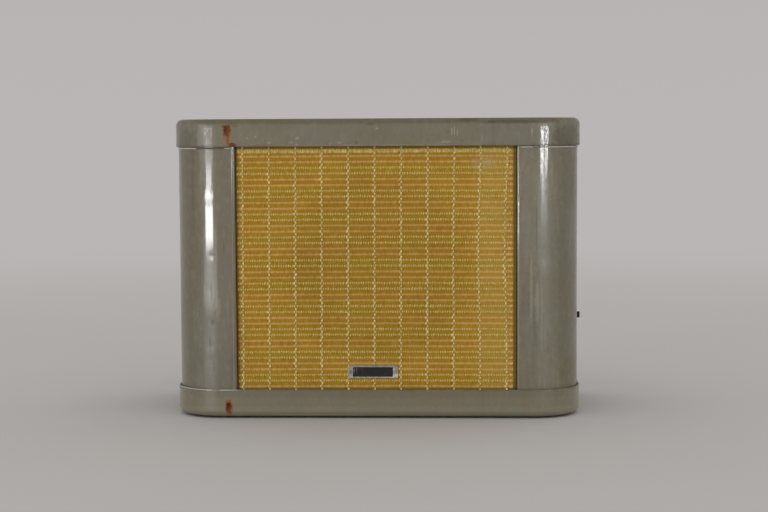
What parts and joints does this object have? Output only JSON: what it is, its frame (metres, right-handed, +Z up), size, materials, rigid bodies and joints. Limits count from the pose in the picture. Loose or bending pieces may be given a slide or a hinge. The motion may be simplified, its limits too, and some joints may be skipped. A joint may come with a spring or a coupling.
{
  "type": "wired radio receiver",
  "caption": "Loudspeaker receiver for a wired radio network: a grey pressed-steel cabinet with rounded front corners and a ribbed gold grille cloth.",
  "frame": {"origin": "under the middle of the cabinet, in the plane that the feet rest on", "axes": "+X to the viewer's right, +Y from the front to the rear, +Z up"},
  "size_m": [0.3846, 0.17, 0.278],
  "materials": {
    "enamel": "aged grey enamel, semi-gloss",
    "cloth": "ribbed gold cloth",
    "board": "plywood",
    "plate": "dull aluminium with a dark field",
    "steel": "zinc-plated",
    "basket": "grey lacquer",
    "paper": "black paper pulp",
    "card": "brown fibre",
    "copper": "enamelled copper",
    "ferrite": "sintered, dark grey",
    "iron": "lacquered laminations",
    "brass": "dull",
    "rubber": "matt black",
    "felt": "dark felt",
    "phenolic": "brown phenolic",
    "dark_steel": "oxidised",
    "red_wire": "woven insulation",
    "cream_wire": "woven insulation",
    "green_wire": "woven insulation"
  },
  "bodies": {
    "cabinet": {"top_tray": "enamel", "bottom_tray": "enamel", "left_side_panel": "enamel", "right_side_panel": "enamel", "baffle_board": "board", "grille_cloth": "cloth", "nameplate": "plate", "nameplate_pins": "steel", "baffle_brackets": "steel", "bracket_screws": "steel", "rear_cover": "enamel", "rear_cover_screws": "steel", "cable_grommet": "rubber", "felt_feet": "felt", "speaker_gasket": "card", "speaker_basket": "basket", "speaker_surround": "paper", "speaker_spider": "card", "front_pole_plate": "steel", "ring_magnet": "ferrite", "back_pole_plate": "steel", "centre_pole": "steel", "speaker_bolts": "steel", "speaker_nuts": "steel", "speaker_tag_strip": "phenolic", "speaker_tags": "brass", "tinsel_leads": "copper", "transformer_core": "iron", "transformer_bobbin": "card", "transformer_winding": "card", "transformer_strap": "steel", "floor_screws": "steel", "terminal_block": "phenolic", "terminal_inserts": "brass", "terminal_screws": "steel", "terminal_block_screws": "steel", "volume_case": "steel", "volume_bush": "brass", "volume_washer": "steel", "volume_nut": "steel", "volume_track": "iron", "volume_wafer": "phenolic", "volume_tags": "brass", "line_leads": "red_wire", "volume_leads": "cream_wire", "speaker_leads": "green_wire", "lead_clips": "steel"},
    "cone": {"paper_cone": "paper", "dust_cap": "paper", "voice_coil_former": "card", "voice_coil_winding": "copper"},
    "spindle": {"volume_spindle": "dark_steel", "volume_wiper": "brass"}
  },
  "joints": [
    {"name": "volume_turn", "type": "hinge", "parent": "cabinet", "child": "spindle", "pos_m": [0.1866, 0.02, 0.086], "axis": [1, 0, 0], "range_deg": [-140, 140]},
    {"name": "cone_travel", "type": "slide", "parent": "cabinet", "child": "cone", "axis": [0, -1, 0], "range_m": [-0.002, 0.002], "stiffness_N_per_m": 1500, "deforming": ["speaker_surround", "speaker_spider", "tinsel_leads"]}
  ]
}
